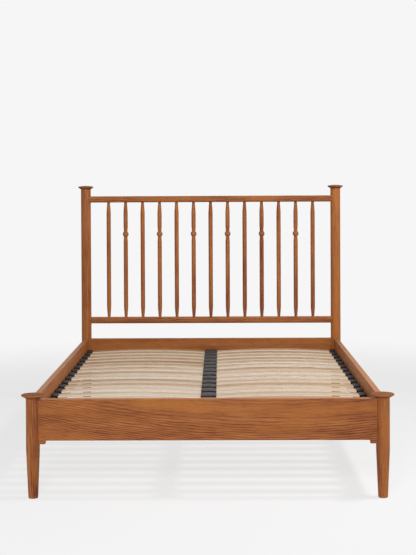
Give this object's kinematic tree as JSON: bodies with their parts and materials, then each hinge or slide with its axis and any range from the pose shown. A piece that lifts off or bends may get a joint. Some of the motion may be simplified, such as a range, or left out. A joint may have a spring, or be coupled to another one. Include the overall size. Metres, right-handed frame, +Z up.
{
  "type": "spindle bed",
  "caption": "Wooden double bed frame with a turned spindle headboard, round capped posts, deep rails and a sprung slat base in two columns.",
  "frame": {"origin": "on the floor under the middle of the whole bed's bounding box, caps included", "axes": "+Z up, +Y towards the headboard, +X to the right seen from the foot of the bed"},
  "size_m": [1.492, 2.029, 1.257],
  "materials": {
    "stained_hardwood": "satin lacquer over a warm brown stain",
    "birch_laminate": "pale laminated veneer, clear sealed",
    "pine": "planed, unstained",
    "beech": "fluted, unfinished",
    "moulded_black": "moulded, fine matt texture",
    "zinc_plated_steel": "bright zinc plate"
  },
  "bodies": {
    "frame": {"foot_post_left": "stained_hardwood", "foot_cap_left": "stained_hardwood", "foot_post_right": "stained_hardwood", "foot_cap_right": "stained_hardwood", "head_post_left": "stained_hardwood", "head_cap_left": "stained_hardwood", "head_post_right": "stained_hardwood", "head_cap_right": "stained_hardwood", "foot_rail": "stained_hardwood", "head_rail": "stained_hardwood", "side_rail_left": "stained_hardwood", "side_rail_right": "stained_hardwood", "headboard_top_rail": "stained_hardwood", "headboard_lower_rail": "stained_hardwood", "spindle_01": "stained_hardwood", "spindle_02": "stained_hardwood", "spindle_03": "stained_hardwood", "spindle_04": "stained_hardwood", "spindle_05": "stained_hardwood", "spindle_06": "stained_hardwood", "spindle_07": "stained_hardwood", "spindle_08": "stained_hardwood", "spindle_09": "stained_hardwood", "spindle_10": "stained_hardwood", "spindle_11": "stained_hardwood", "spindle_12": "stained_hardwood", "spindle_13": "stained_hardwood", "slat_row_01": "birch_laminate", "slat_row_02": "birch_laminate", "slat_row_03": "birch_laminate", "slat_row_04": "birch_laminate", "slat_row_05": "birch_laminate", "slat_row_06": "birch_laminate", "slat_row_07": "birch_laminate", "slat_row_08": "birch_laminate", "slat_row_09": "birch_laminate", "slat_row_10": "birch_laminate", "slat_row_11": "birch_laminate", "slat_row_12": "birch_laminate", "slat_row_13": "birch_laminate", "slat_row_14": "birch_laminate", "slat_row_15": "birch_laminate", "slat_row_16": "birch_laminate", "side_slat_holders_left": "moulded_black", "side_slat_holders_right": "moulded_black", "centre_slat_holders": "moulded_black", "ledger_left": "pine", "ledger_right": "pine", "centre_rail": "pine", "centre_rail_hangers": "zinc_plated_steel", "centre_leg": "stained_hardwood", "leg_bolt": "zinc_plated_steel", "threaded_inserts": "zinc_plated_steel", "rail_studs": "zinc_plated_steel", "half_moon_washers": "zinc_plated_steel", "rail_nuts": "zinc_plated_steel", "rail_dowels": "beech", "ledger_screws": "zinc_plated_steel", "hanger_screws": "zinc_plated_steel"},
    "levelling_foot": {"levelling_foot": "moulded_black"}
  },
  "joints": [
    {"name": "levelling_foot_travel", "type": "slide", "parent": "frame", "child": "levelling_foot", "axis": [0, 0, 1], "range_m": [-0.008, 0.006]}
  ]
}
